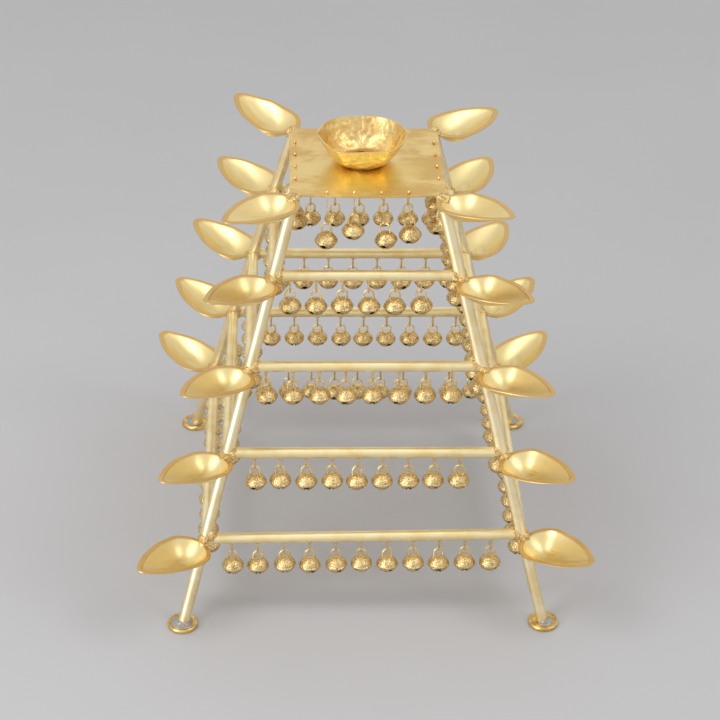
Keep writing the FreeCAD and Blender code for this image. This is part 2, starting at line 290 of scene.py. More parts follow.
FOOT_RADIUS, FOOT_HEIGHT = 0.0106, 0.0030


def turned(profile, sides=64):
    """A profile of (radius, height) pairs carried round the z axis."""
    radius, height = np.array(profile).T
    angle = np.linspace(0, 2 * math.pi, sides, False)[None, :]
    radius, height = radius[:, None], height[:, None] + 0 * angle
    return skin(np.stack([radius * np.cos(angle), radius * np.sin(angle), height], -1))


foot_profile = [(0.002, 0.0), (FOOT_RADIUS - 0.0005, 0.0), (FOOT_RADIUS, 0.0004), (FOOT_RADIUS, 0.0019),
                (FOOT_RADIUS - 0.0003, 0.0026), (FOOT_RADIUS - 0.0010, FOOT_HEIGHT),
                (FOOT_RADIUS - 0.0018, 0.0028), (FOOT_RADIUS - 0.0023, 0.0022), (0.006, foot_floor),
                (0.002, foot_floor)]
foot_brass = Finish("foot_brass", Metallic=1.0)
foot_clouds = foot_brass.noise(foot_brass.place(), 240.0, 4.0, 0.6)
foot_grain = foot_brass.noise(foot_brass.place(), 1800.0, 2.0)
foot_tint = foot_brass.ease(foot_clouds, 0.38, 0.66)
foot_brass.wear(foot_brass.mix(foot_tint, (0.86, 0.64, 0.26, 1.0), (0.62, 0.38, 0.12, 1.0)),
                foot_clouds * 0.25 + 0.22)
foot_brass.bump(foot_clouds * 0.6 + foot_grain * 0.4, 0.0002, 0.6)

foot_places = [Matrix.Translation(leg_point(corner, 0.0)) for corner in CORNERS]
feet = piece("turned_feet", [turned(foot_profile).placed(foot_places)], foot_brass)
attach(feet, "stand")
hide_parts("foot_discs")


# Solder in the feet: a dull grey puddle that has run out unevenly round each leg's end.

SOLDER_REACH = {"front_left": (0.0079, 0.0004, 200.0), "front_right": (0.0060, 0.0014, -10.0),
                "back_right": (0.0062, 0.0012, 60.0), "back_left": (0.0064, 0.0010, 130.0)}


def waves(seed, count, *angles):
    """A smooth random pattern from -1 to 1: a mean of sines of whole multiples of the angles."""
    random = np.random.default_rng(seed)
    total = 0.0
    for _ in range(count):
        phase = random.uniform(0, 2 * math.pi)
        turns = [random.integers(1, 6) for _ in angles]
        total = total + np.sin(sum(turn * angle for turn, angle in zip(turns, angles)) + phase)
    return total / math.sqrt(count) * 0.7


def solder_puddle(corner, seed):
    """Height falls from the leg to an uneven edge: radius = reach + lean cos(a - a0) + waves of the angle."""
    reach, lean, heading = SOLDER_REACH[corner]
    angle = np.linspace(0, 2 * math.pi, 56, False)[None, :]
    edge = reach + lean * np.cos(angle - math.radians(heading)) + 0.0005 * waves(seed, 5, angle)
    share = np.array([0.10, 0.95, 1.0, 0.97, 0.88, 0.75, 0.62, 0.5, 0.4])[:, None]
    height = np.array([0.0, 0.0, 0.0002, 0.0005, 0.0008, 0.0010, 0.0014, 0.0021, 0.0030])[:, None]
    uneven = 1.0 + 0.3 * waves(seed + 50, 5, angle, share * 9.0)
    radius = edge * share
    return skin(np.stack([radius * np.cos(angle), radius * np.sin(angle),
                          foot_floor + height * uneven], -1) + leg_point(corner, 0.0))


grey_solder = Finish("grey_solder", Metallic=0.85)
solder_clouds = grey_solder.noise(grey_solder.place(), 420.0, 5.0, 0.65)
solder_grain = grey_solder.noise(grey_solder.place(), 1500.0, 3.0)
solder_stain = grey_solder.ease(solder_clouds, 0.52, 0.68)
grey_solder.wear(grey_solder.mix(solder_stain, (0.40, 0.41, 0.41, 1.0), (0.60, 0.44, 0.22, 1.0)),
                 solder_clouds * 0.3 + 0.28)
grey_solder.bump(solder_clouds * 0.7 + solder_grain * 0.3, 0.0005, 0.8)
puddles = [solder_puddle(corner, seed) for seed, corner in enumerate(CORNERS)]
solder = piece("foot_solder_puddles", puddles, grey_solder)
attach(solder, "stand")
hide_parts("foot_solder")


# Crossbars: four rings of the same tube, a little thinner, each bar brazed between two legs.

BAR_RADIUS = 0.00375


def row_frame(tier, side):
    """A row's frame: x runs along it, -y is outward, and the bells swing about the x axis."""
    hinge = [one for one in frame["joints"] if one["name"] == "swing_%s_tier_%d" % (side, tier)][0]
    along = -Vector(hinge["axis"])
    outward = Matrix.Rotation(math.radians(SIDES[side]), 3, "Z") @ Vector((0, -1, 0))
    turn = Matrix((along, -outward, along.cross(-outward))).transposed()
    return Matrix.Translation(Vector(hinge["pos_m"])) @ turn.to_4x4()


def across_row(matrix, point):
    return np.array(matrix @ Vector(point))


bar_brass = drawn_brass("crossbar_brass", (1.00, 0.87, 0.53, 1.0), (0.92, 0.73, 0.36, 1.0))
for tier, half in bar_halves.items():
    bars = []
    for side in SIDES:
        row = row_frame(tier, side)
        bars.append(tube(across_row(row, (-half, 0, RING_DROP)), across_row(row, (half, 0, RING_DROP)),
                         BAR_RADIUS, 50, 36))
    ring = piece("ring_of_bars_tier_%d" % tier, bars, bar_brass)
    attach(ring, "stand")
    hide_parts("crossbars_tier_%d" % tier)


# Leaf lamps: dishes pressed from brass sheet, with a flat lip, a round bowl and a creased spout that runs
# out to the wick's tip.  One is brazed by its root to each leg at the plate and at each ring of bars.

LAMP_LENGTH, ROOT_RADIUS, TIP_RADIUS = 0.0604, 0.0184, 0.0060
LIP_WIDTH, LAMP_WALL, LAMP_DEPTH = 0.0030, 0.0009, 0.0108
LAMP_PITCH = math.radians(7.0)
LAMP_GAP, LAMP_DROP = 0.0022, 0.0020
HOLLOW_SHAPE, SPOUT_SHAPE = 0.92, 0.8         # exponents of the hollow's depth and of the spout's reach
CREASE_RADIUS, SPOUT_WIDENING = 0.0008, 0.0022
# How the hand-brazed lamps differ: degrees of turn, of further tip lift and of roll, and a rise
LAMP_SETS = {("back_right", 1): (-6.0, -7.0, 3.5, 0.0), ("back_right", 2): (12.0, -4.5, 0.0, 0.0),
             ("back_right", 3): (12.0, -6.0, 0.0, 0.0), ("back_left", 1): (-3.0, 1.0, 0.0, 0.0),
             ("back_left", 2): (-5.0, -2.5, 0.0, 0.0), ("front_left", 1): (-3.0, -4.0, 0.0, 0.0),
             ("front_left", 4): (0.0, 2.0, 0.0, 0.0), ("front_right", 4): (0.0, 1.8, 5.0, 0.0),
             ("front_left", 5): (0.0, 0.8, -5.0, -0.0030), ("front_right", 5): (0.0, 1.7, 9.0, 0.0008)}
LAMP_COLUMNS = 96


def leaf(facing, root, reach, tip):
    """A leaf outline by the way its edge faces: a round root about x = 0, long side arcs and a round tip."""
    tip_x = reach - tip
    side = (tip_x**2 + root**2 - tip**2) / (2 * (root - tip))
    middle = root - side
    touch = np.arctan2(-middle, tip_x)
    at_root, at_tip = np.abs(facing) > math.pi / 2, np.abs(facing) < touch
    radius = np.where(at_root, root, np.where(at_tip, tip, side))
    x = np.where(at_tip, tip_x, 0.0) + radius * np.cos(facing)
    offset = np.where(at_root | at_tip, 0.0, middle) * np.sign(facing)
    return x, offset + radius * np.sin(facing)


def evenly_facing(columns):
    """Facing angles that space the points of the lamp's outline evenly along it."""
    fine = np.linspace(-math.pi, math.pi, 4000)
    x, y = leaf(fine, ROOT_RADIUS, LAMP_LENGTH - ROOT_RADIUS, TIP_RADIUS)
    length = np.concatenate([[0.0], np.cumsum(np.hypot(np.diff(x), np.diff(y)))])
    return np.interp(np.arange(columns) / columns * length[-1], length, fine)


def lamp_rings():
    """The dish from its outer bottom over the lip to its inner bottom.

    Where the hollow's round end has narrowed to a share u of its radius, its depth is a share
    d = (1 - u^2)^p of the whole depth, and the spout reaches (1 - d)^q of its length past that end; p and q
    are the two shapes above.
    """
    shares = np.array([0.06, 0.16, 0.27, 0.38, 0.48, 0.57, 0.65, 0.72, 0.79, 0.85, 0.90, 0.94, 0.975, 1.0])
    spout = LAMP_LENGTH - 2 * ROOT_RADIUS
    hollow_radius = ROOT_RADIUS - LIP_WIDTH

    def hollow(shares, grow):
        share = shares[:, None]
        depth = (1.0 - share**2)**HOLLOW_SHAPE
        root = hollow_radius * share + grow * share**0.5
        reach = root + spout * (1.0 - depth)**SPOUT_SHAPE
        tip = np.minimum(CREASE_RADIUS + SPOUT_WIDENING * (1.0 - depth) + grow * share, root * 0.75)
        return root, reach, tip, -LAMP_DEPTH * depth - grow

    def level(inset, height):
        size = np.array(inset)[:, None]
        return (ROOT_RADIUS - size, LAMP_LENGTH - ROOT_RADIUS - size, TIP_RADIUS - size,
                np.array(height)[:, None] + 0 * size)

    half = LAMP_WALL / 2
    stretches = [hollow(shares, LAMP_WALL),
                 level([0.0020, 0.0012, 0.0005], [-LAMP_WALL] * 3),
                 level([0.00015, 0.0, 0.00012, 0.0004], [-0.0008, -half, -0.00012, 0.0]),
                 level([0.0010, 0.0018, 0.0024, 0.0028], [-0.00003, -0.00008, -0.00006, -0.00012]),
                 hollow(shares[::-1], 0.0)]
    facing = evenly_facing(LAMP_COLUMNS)[None, :]
    rings = []
    for root, reach, tip, height in stretches:
        x, y = leaf(facing, root, reach, tip)
        rings.append(np.stack([x, y, height + 0 * x], -1))
    return np.concatenate(rings)


def lamp_frame(corner, tier):
    """A lamp points diagonally out from its leg, with its tip raised."""
    side_x, side_y = CORNERS[corner]
    turn, lift, roll, rise = LAMP_SETS.get((corner, tier), (0.0, 0.0, 0.0, 0.0))
    heading = math.atan2(side_y, side_x) + math.radians(turn)
    pitch = LAMP_PITCH + math.radians(lift)
    height = bar_heights.get(tier, plate_high.z)
    return (Matrix.Translation(leg_point(corner, height)) @ Matrix.Rotation(heading, 4, "Z")
            @ Matrix.Translation((LAMP_GAP, 0, rise - LAMP_DROP)) @ Matrix.Rotation(-pitch, 4, "Y")
            @ Matrix.Rotation(math.radians(roll), 4, "X") @ Matrix.Translation((ROOT_RADIUS, 0, 0)))


def hand_bent(rings, seed):
    """A little unevenness: the dish twists and waves by a fraction of a millimetre."""
    bent = rings.copy()
    along, across = rings[..., 0] * 60.0, rings[..., 1] * 60.0
    bent[..., 2] += 0.00022 * waves(seed, 4, along, across) - 0.0002
    bent[..., 1] *= 1.0 + 0.012 * waves(seed + 300, 3, along)
    return bent


lamp_brass = Finish("leaf_lamp_brass", Metallic=1.0)
lamp_own = lamp_brass.own()
lamp_height = lamp_brass.part(lamp_own, "Z")
lamp_clouds = lamp_brass.noise(lamp_brass.place(), 55.0, 4.0, 0.6)
lamp_swirl = lamp_brass.noise(lamp_brass.stretch(lamp_own, (90.0, 600.0, 300.0)), 1.0, 3.0)
lamp_grain = lamp_brass.noise(lamp_brass.place(), 2400.0, 2.0)
in_hollow = lamp_brass.ease(0.0 - lamp_height, 0.0002, 0.0010)
deep_hollow = lamp_brass.ease(0.0 - lamp_height, 0.0060, 0.0105)
# Painted shade: the flat lip is coloured darker and more orange than the hollow inside it.
lip_painted_shade = lamp_brass.mix(lamp_clouds, (0.80, 0.56, 0.25, 1.0), (0.66, 0.43, 0.15, 1.0))
wall_colour = lamp_brass.mix(lamp_clouds, (0.93, 0.78, 0.42, 1.0), (0.87, 0.70, 0.33, 1.0))
well_colour = lamp_brass.mix(lamp_brass.ease(lamp_swirl, 0.35, 0.7), (0.87, 0.72, 0.36, 1.0),
                             (0.73, 0.56, 0.25, 1.0))
inside_colour = lamp_brass.mix(deep_hollow * 0.8, wall_colour, well_colour)
lamp_brass.wear(lamp_brass.mix(in_hollow, lip_painted_shade, inside_colour),
                lamp_clouds * 0.14 + lamp_swirl * 0.10 + deep_hollow * 0.04 + 0.26)
lamp_brass.bump(lamp_swirl * 0.5 + lamp_grain * 0.35, 0.00010, 0.45)

lamp_shape = lamp_rings()
for tier in (1, 2, 3, 4, 5):
    for index, corner in enumerate(CORNERS):
        dish = skin(hand_bent(lamp_shape, 10 * tier + index), lamp_shape)
        set_in_place = dish.placed([lamp_frame(corner, tier)])
        lamp = piece("%s_lamp_tier_%d" % (corner, tier), [set_in_place], lamp_brass)
        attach(lamp, "stand")
        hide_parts("leaf_lamp_%s_tier_%d" % (corner, tier))


# Brazing: lumpy beads of filler metal run into the corner between a leg, its bars and its lamp.

BEAD_RADIUS, BEAD_STEP = 0.0046, 0.0032       # size, and how far along its bar a bead lies from the leg


def lump(seed, radius, squash):
    """A ball with radius r (1 + waves of its two angles / 8), flattened along z."""
    tilt = np.linspace(0.06, math.pi - 0.06, 15)[:, None]
    angle = np.linspace(0, 2 * math.pi, 22, False)[None, :]
    rough = radius * (1.0 + 0.13 * waves(seed, 7, angle, tilt * 2.0) * np.sin(tilt))
    rings = np.stack([rough * np.sin(tilt) * np.cos(angle), rough * np.sin(tilt) * np.sin(angle),
                      -rough * np.cos(tilt) * squash], -1)
    return skin(rings)


def braze_beads(corner, tier, seed):
    """Three beads at a joint: one towards each bar and one towards the lamp."""
    side_x, side_y = CORNERS[corner]
    height = bar_heights.get(tier, plate_low.z - BEAD_RADIUS * 0.6)
    heart = Vector(leg_point(corner, height))
    if tier == 1:
        steps = [Vector((side_x, side_y, 0)) * 0.0012]
    else:
        steps = [Vector((-side_x * BEAD_STEP, 0, 0)), Vector((0, -side_y * BEAD_STEP, 0)),
                 Vector((side_x, side_y, 0)) * 0.0014 - Vector((0, 0, 0.0022))]
    return [lump(seed * 7 + number, BEAD_RADIUS * (1.0 if number < 2 else 0.95), 1.05)
            .placed([Matrix.Translation(heart + step)]) for number, step in enumerate(steps)]


braze_metal = Finish("brazing_brass", Metallic=1.0)
braze_clouds = braze_metal.noise(braze_metal.place(), 520.0, 5.0, 0.65)
braze_pits = braze_metal.noise(braze_metal.place(), 1500.0, 3.0, 0.6)
braze_tint = braze_metal.ease(braze_clouds, 0.40, 0.62)
braze_metal.wear(braze_metal.mix(braze_tint, (0.94, 0.76, 0.40, 1.0), (0.62, 0.40, 0.15, 1.0)),
                 braze_clouds * 0.3 + 0.14)
braze_metal.bump(braze_clouds * 0.7 + braze_pits * 0.6, 0.0014, 1.0)
beads = []
for tier in (1, 2, 3, 4, 5):
    for index, corner in enumerate(CORNERS):
        beads += braze_beads(corner, tier, 20 * tier + index)
brazing = piece("brazing_beads", beads, braze_metal)
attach(brazing, "stand")
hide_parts("brazed_joints")


# Top plate: a square of brass sheet, rubbed across with emery, with a painted highlight, brighter and warmer,
# round the front of the bowl.
# Its edges have sagged slightly between the legs.

SIDE_SAG, FRONT_SAG = 0.0007, 0.0018
HIGHLIGHT_FORWARD = 0.022             # the painted highlight is strongest so far in front of the middle


def plate_sag(x, y):
    """How far the sheet lies below flat: the edges' middles sag, the corners and the middle don't."""
    across, along = x / plate_high.x, y / plate_high.y
    edge = np.maximum(np.abs(across), np.abs(along))**4
    between = 1.0 - np.minimum(np.abs(across), np.abs(along))**2
    in_front = along < -np.abs(across)
    return np.where(in_front, FRONT_SAG, SIDE_SAG) * edge * between


def plate_rings():
    """Square rings that grow from the bottom's middle to the edge and shrink back over the top."""
    angle = np.linspace(0, 2 * math.pi, 160, False)[None, :]
    square = 1.0 / np.maximum(np.abs(np.cos(angle)), np.abs(np.sin(angle)))
    size = np.linspace(0.02, 1.0, 24)
    edge = 0.0012
    sizes = np.concatenate([size[:-1], [1 - edge, 1.0, 1.0, 1 - edge], size[::-1][1:]])[:, None]
    sheet = plate_high.z - plate_low.z
    lift = np.concatenate([np.zeros(24), [0.15, 0.85], np.ones(24)])[:, None] * sheet
    x = plate_high.x * sizes * square * np.cos(angle)
    y = plate_high.y * sizes * square * np.sin(angle)
    return np.stack([x, y, plate_low.z + lift - plate_sag(x, y)], -1)


plate_brass = Finish("plate_brass", Metallic=1.0)
plate_place = plate_brass.place()
rubbing = plate_brass.noise(plate_brass.stretch(plate_place, (40.0, 1300.0, 1.0)), 1.0, 3.0)
plate_clouds = plate_brass.noise(plate_place, 38.0, 5.0, 0.65)
plate_stretched = plate_brass.noise(plate_brass.stretch(plate_place, (34.0, 60.0, 1.0)), 1.0, 4.0, 0.6)
plate_x, plate_y = plate_brass.part(plate_place, "X"), plate_brass.part(plate_place, "Y")
forward = plate_y + HIGHLIGHT_FORWARD
squared = plate_x * plate_x * 0.8 + forward * forward * 1.6
# Painted highlight: a brighter, warmer patch on the plate, centred in front of the bowl.
painted_highlight = 1.0 - plate_brass.ease(squared.math("SQRT", squared) + plate_clouds * 0.03, 0.024, 0.060)
plate_colour = plate_brass.mix(plate_brass.ease(plate_stretched, 0.40, 0.62), (0.93, 0.71, 0.31, 1.0),
                              (0.76, 0.50, 0.17, 1.0))
highlight_colour = plate_brass.mix(plate_brass.ease(plate_stretched, 0.35, 0.7), (1.00, 0.86, 0.38, 1.0),
                              (1.00, 0.78, 0.28, 1.0))
plate_brass.wear(plate_brass.mix(painted_highlight, plate_colour, highlight_colour), plate_clouds * 0.15 + rubbing * 0.12 + 0.20)
plate_brass.bump(rubbing * 0.4 + plate_clouds * 1.5, 0.0004, 0.5)
plate = piece("rubbed_plate", [skin(plate_rings())], plate_brass)
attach(plate, "stand")
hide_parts("top_plate")


# Bowl lamp: a thin brass bowl beaten by hand, round below, with two pinched wick lips at its sides, a
# flattened front wall and a crease down its back.  It is soldered to the plate by its flat bottom.

BOWL_X = -0.0026
BOWL_LIP, BOWL_BACK, BOWL_FRONT, BOWL_HEIGHT, BOWL_WALL = 0.0312, 0.0290, 0.0280, 0.0208, 0.0009
BOWL_FOOT = 0.0117
LIP_PINCH, LIP_SPREAD = 0.0012, 0.10          # how far a lip is pulled out, over how many radians
FRONT_DIP = 0.0012                # the flattened front of the rim is beaten lower than the rest
HAMMER_BLOWS, HAMMER_DEPTH = 260, 0.00022
BOWL_FLOOR = 0.0011               # from the plate's top to the bowl's inner bottom
POLE_RADIUS = 0.0008              # the smallest ring of points, at the middle of the bottom
MEAN_RIM = 0.030                  # the radius that the outline has at the foot, before it is scaled down


def bowl_outline(angle):
    """The rim's radius at an angle: round behind, pinched to a point at each side, straight in front."""
    x, y = np.cos(angle), np.sin(angle)
    round_back = 1.0 / np.hypot(x / BOWL_LIP, y / BOWL_BACK)
    side = 1.0 / np.hypot(x / (BOWL_LIP - 0.0004), y / 0.0345)
    front = BOWL_FRONT / np.maximum(-y, 0.05)
    soft = 26
    forward = (side**-soft + front**-soft)**(-1 / soft)
    from_side = np.minimum(np.abs(angle), np.abs(np.abs(angle) - math.pi))
    lip = LIP_PINCH * np.exp(-(from_side / LIP_SPREAD)**2)
    return np.where(y > 0, round_back, forward) - 0.0010 + lip


def hammering(angle, rise, seed):
    """Shallow round dents at random places on the wall, each exp(-(distance / size)^2) deep."""
    random = np.random.default_rng(seed)
    depth = np.zeros(np.broadcast(angle, rise).shape)
    for _ in range(HAMMER_BLOWS):
        around, up, size = random.uniform(-math.pi, math.pi), random.uniform(0, 1), random.uniform(0.05, 0.11)
        turn = np.abs(np.angle(np.exp(1j * (angle - around)))) * (0.35 + 0.65 * rise)
        depth += np.exp(-(turn**2 + ((rise - up) * 0.9)**2) / size**2)
    return depth


def bowl_rings():
    """Wall at rise t: height H t^2.2, size from the round foot to the pinched rim, plus the hammering."""
    angle = np.linspace(-math.pi, math.pi, 192, False)[None, :]
    rise = np.linspace(0.0, 1.0, 34)[:, None]
    rim = bowl_outline(angle)
    corner = np.exp(-((np.abs(angle + math.pi / 2) - math.radians(38)) / 0.07)**2)
    crease = np.exp(-((angle - math.pi / 2) / 0.045)**2)

    def wall(rise, inset, seed):
        blend = rise * rise * (3 - 2 * rise)
        outline = MEAN_RIM * (1 - blend) + rim * blend
        radius = (BOWL_FOOT / MEAN_RIM + (1 - BOWL_FOOT / MEAN_RIM) * rise) * outline - inset
        radius = radius - HAMMER_DEPTH * (hammering(angle, rise, seed) - 0.8) * np.minimum(1, rise * 3)
        radius = radius + 0.0006 * crease * rise - 0.0003 * corner * rise
        return radius, BOWL_HEIGHT * rise**2.2

    outer, outer_height = wall(rise, 0.0, 5)
    inner, inner_height = wall(rise[::-1], BOWL_WALL, 5)
    inner_height = np.maximum(inner_height, BOWL_FLOOR)
    front = np.exp(-((angle + math.pi / 2) / 0.75)**6)
    wobble = 0.00035 * waves(8, 4, angle) - 0.00035 - FRONT_DIP * front
    outer_height = outer_height + wobble * (outer_height / BOWL_HEIGHT)**2
    inner_height = inner_height + wobble * (inner_height / BOWL_HEIGHT)**2
    pole, level = np.full((1, angle.size), POLE_RADIUS), np.ones((1, angle.size))
    radius = np.concatenate([pole, outer, inner, pole])
    height = np.concatenate([0 * level, outer_height, inner_height, BOWL_FLOOR * level])
    return np.stack([BOWL_X + radius * np.cos(angle), radius * np.sin(angle), plate_high.z + height], -1)


bowl_brass = Finish("beaten_brass", Metallic=1.0)
bowl_place = bowl_brass.place()
bowl_clouds = bowl_brass.noise(bowl_place, 85.0, 5.0, 0.65)
bowl_dents = bowl_brass.add("ShaderNodeTexVoronoi", {"feature": "SMOOTH_F1"},
                            {"Vector": bowl_place, "Scale": 260.0, "Smoothness": 0.5}, "Distance")
bowl_crinkle = bowl_brass.noise(bowl_place, 520.0, 4.0, 0.6)
bowl_patch = bowl_brass.ease(bowl_clouds, 0.48, 0.68)
bowl_streak = bowl_brass.ease(bowl_crinkle, 0.45, 0.75)
bowl_colour = bowl_brass.mix(bowl_patch * 0.8, (0.91, 0.72, 0.33, 1.0), (0.62, 0.41, 0.15, 1.0))
bowl_colour = bowl_brass.mix(bowl_streak * 0.5, bowl_colour, (0.90, 0.76, 0.42, 1.0))
bowl_low = 1.0 - bowl_brass.ease(bowl_brass.part(bowl_place, "Z"), plate_high.z, plate_high.z + 0.006)
bowl_colour = bowl_brass.mix(bowl_low * 0.5, bowl_colour, (0.72, 0.38, 0.14, 1.0))
# Painted shade: inside the bowl, cloudy patches are coloured darker brown to stand for the shade in the
# hollow.
shaded = bowl_brass.ease(bowl_clouds, 0.25, 0.70) * bowl_brass.dark()
bowl_colour = bowl_brass.mix(shaded * 0.65, bowl_colour, (0.68, 0.44, 0.16, 1.0))
bowl_brass.wear(bowl_colour, bowl_clouds * 0.2 + bowl_crinkle * 0.14 + 0.2)
bowl_brass.bump(bowl_dents * 1.2 + bowl_crinkle * 0.5, 0.0007, 0.6)
bowl_shape = bowl_rings()
# Points of the inner wall get a painted-shade share of 1.
bowl_inside_shade = (np.arange(len(bowl_shape)) >= len(bowl_shape) // 2)[:, None] * np.ones(bowl_shape.shape[1])
bowl = piece("beaten_bowl", [skin(bowl_shape, dark=bowl_inside_shade)], bowl_brass, 60.0)
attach(bowl, "stand")
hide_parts("bowl_lamp")


# Solder under the bowl: a low, uneven fillet, browned by the torch.

def bowl_fillet():
    """A ring that climbs from the plate to the bowl's foot, with an uneven outer edge."""
    angle = np.linspace(0, 2 * math.pi, 96, False)[None, :]
    share = np.array([0.0, 0.0, 0.12, 0.35, 0.65, 1.0, 1.0])[:, None]
    lift = np.array([-0.0002, 0.0, 0.00035, 0.0008, 0.0012, 0.0015, -0.0002])[:, None]
    edge = BOWL_FOOT + 0.0026 + 0.0007 * waves(3, 5, angle)
    radius = edge - (edge - BOWL_FOOT + 0.0006) * share
    height = plate_high.z + lift * (1.0 + 0.15 * waves(4, 4, angle))
    return skin(np.stack([BOWL_X + radius * np.cos(angle), radius * np.sin(angle), height], -1), looped=True)


burnt_solder = Finish("burnt_solder", Metallic=1.0)
burnt_clouds = burnt_solder.noise(burnt_solder.place(), 500.0, 5.0, 0.65)
burnt_solder.wear(burnt_solder.mix(burnt_solder.ease(burnt_clouds, 0.4, 0.62), (0.62, 0.36, 0.20, 1.0),
                                   (0.30, 0.16, 0.09, 1.0)), burnt_clouds * 0.3 + 0.3)
burnt_solder.bump(burnt_clouds, 0.0008, 0.8)
fillet = piece("solder_under_bowl", [bowl_fillet()], burnt_solder)
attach(fillet, "stand")
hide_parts("bowl_solder")


# Bells: rough cast brass crotals, two domes that meet in a raised belt, with a crossed slit below and a
# thick wire ring above.  Each row swings under its bar, or under its edge of the plate on long wire loops.

BELL_RADIUS, BELL_HALF_HEIGHT = 0.0074, 0.0063
BELL_ROUNDNESS = 1.8              # 2 gives an egg, less gives a lens
BELT_RADIUS, BELT_HALF_HEIGHT = 0.0077, 0.0006
SLIT_HALF_WIDTH, SLIT_TOP, SLIT_DEPTH = 0.0009, -0.0011, 0.0024
SLIT_HOLE, SLIT_HOLE_HEIGHT = 0.0014, -0.0023       # each slit ends in a wider drilled hole
RING_HALF_WIDTH, RING_WIRE, RING_TOP = 0.0033, 0.0007, 0.0125
BELL_LEANS = {("front", 1): (0.0, 0.0, 8.0, 4.5)}   # degrees that bells lean to the right in their row
BELL_ROWS = {2: (6, 0.0107, 0.0259), 3: (8, 0.0107, 0.0198), 4: (9, 0.0184, 0.0288), 5: (11, 0.0175, 0.0214)}


def bell_skin():
    """Radius R (1 - |z / H|^n)^(1 / n) with a belt round the middle and four slits below.

    At a slit, the columns of points dip inward; it is widest at the hole that ends it. The groove's points
    carry the painted shade that colours each slit near black.
    """
    low = np.array([-0.995, -0.95, -0.86, -0.74, -0.62, -0.52, -0.42, -0.32, -0.27, -0.18])
    middle = np.array([-0.12, -0.085, 0.085, 0.12])
    high = np.array([0.20, 0.34, 0.48, 0.62, 0.75, 0.87, 0.95, 0.995])
    height = BELL_HALF_HEIGHT * np.concatenate([low, middle, high])[:, None]
    share = np.abs(height) / BELL_HALF_HEIGHT
    dome = BELL_RADIUS * (1.0 - share**BELL_ROUNDNESS)**(1 / BELL_ROUNDNESS)
    belt = np.abs(height) < BELT_HALF_HEIGHT
    radius = np.where(belt, BELT_RADIUS, dome)
    slit = height < SLIT_TOP
    hole = SLIT_HOLE * np.exp(-((height - SLIT_HOLE_HEIGHT) / 0.0010)**2)
    half_angle = np.arcsin(np.minimum(0.7, (SLIT_HALF_WIDTH + hole) / radius))
    spread = np.array([-0.66, -0.33, 0.0, 0.0, 0.0, 0.0, 0.33, 0.66, 1.0])[None, :]
    inside = np.array([0, 0, -1.0, -0.8, 0.8, 1.0, 0, 0, 0])[None, :]
    quarter = half_angle * np.where(inside == 0, np.sign(spread), inside)
    quarter = quarter + spread * (math.pi / 4 - half_angle)
    groove = (np.abs(inside) == 0.8) & slit
    angle = np.concatenate([quarter + turn * math.pi / 2 for turn in range(4)], 1)
    groove = np.tile(groove, (1, 4))
    radius = radius - np.where(groove, np.minimum(SLIT_DEPTH, radius * 0.6), 0.0)
    rings = np.stack([radius * np.cos(angle), radius * np.sin(angle), height + 0 * angle], -1)
    return skin(rings, dark=groove.astype(float))


def wire(path, across, radius, sides=6, looped=False):
    """A round wire along a flat path: the path, plus r cos a across its plane and r sin a within it."""
    along = np.roll(path, -1, 0) - np.roll(path, 1, 0) if looped else np.gradient(path, axis=0)
    along /= np.linalg.norm(along, axis=1, keepdims=True)
    within = np.cross(along, across)
    angle = np.linspace(0, 2 * math.pi, sides, False)[None, :, None]
    rings = path[:, None] + radius * (np.cos(angle) * np.array(across) + np.sin(angle) * within[:, None])
    return skin(rings, looped=looped)


def hairpin(half_width, arc_height, end_height, steps):
    """A flat path in the x-z plane: straight, round half a circle about arc_height, and straight again."""
    up = 1.0 if arc_height > end_height else -1.0
    turn = np.linspace(0, math.pi, steps)
    x = np.concatenate([[half_width], half_width * np.cos(turn), [-half_width]])
    z = np.concatenate([[end_height], arc_height + up * half_width * np.sin(turn), [end_height]])
    return np.stack([x, 0 * x, z], -1)


ring_path = hairpin(RING_HALF_WIDTH, RING_TOP - RING_HALF_WIDTH, 0.0040, 9)
bell_body, bell_ring = bell_skin(), wire(ring_path, (0.0, 1.0, 0.0), RING_WIRE, 7)


def bell_places(tier):
    """The places of a row's bells along its bar, from the left as seen from outside."""
    count, first_margin, last_margin = BELL_ROWS[tier]
    return np.linspace(first_margin - bar_halves[tier], bar_halves[tier] - last_margin, count)


bell_brass = Finish("bell_brass", Metallic=1.0)
bell_place = bell_brass.place()
bell_clouds = bell_brass.noise(bell_place, 190.0, 4.0, 0.6)
bell_cast = bell_brass.noise(bell_place, 1100.0, 3.0, 0.65)
bell_pits = bell_brass.ease(bell_cast, 0.36, 0.56)
slit_painted_shade = bell_brass.dark()
ring_part = bell_brass.ease(bell_brass.part(bell_brass.own(), "Z"), 0.0056, 0.0066)
bell_scratches = bell_brass.noise(bell_brass.stretch(bell_place, (400.0, 400.0, 2400.0)), 1.0, 3.0)
bell_colour = bell_brass.mix(bell_clouds, (0.96, 0.77, 0.42, 1.0), (0.76, 0.56, 0.26, 1.0))
bell_colour = bell_brass.mix(bell_pits, (0.38, 0.25, 0.10, 1.0), bell_colour)
bell_colour = bell_brass.mix(ring_part, bell_colour, (0.90, 0.71, 0.36, 1.0))
# Painted shade: the slits' grooves are coloured near black, standing for the dark inside of the bell seen
# through them.
bell_colour = bell_brass.mix(bell_brass.ease(slit_painted_shade, 0.15, 0.6), bell_colour, (0.012, 0.010, 0.008, 1.0))
bell_brass.wear(bell_colour, bell_clouds * 0.16 + slit_painted_shade * 0.4 + 0.20)
bell_brass.bump(bell_cast * 0.45 + bell_scratches * 0.55, 0.0007, 0.8)


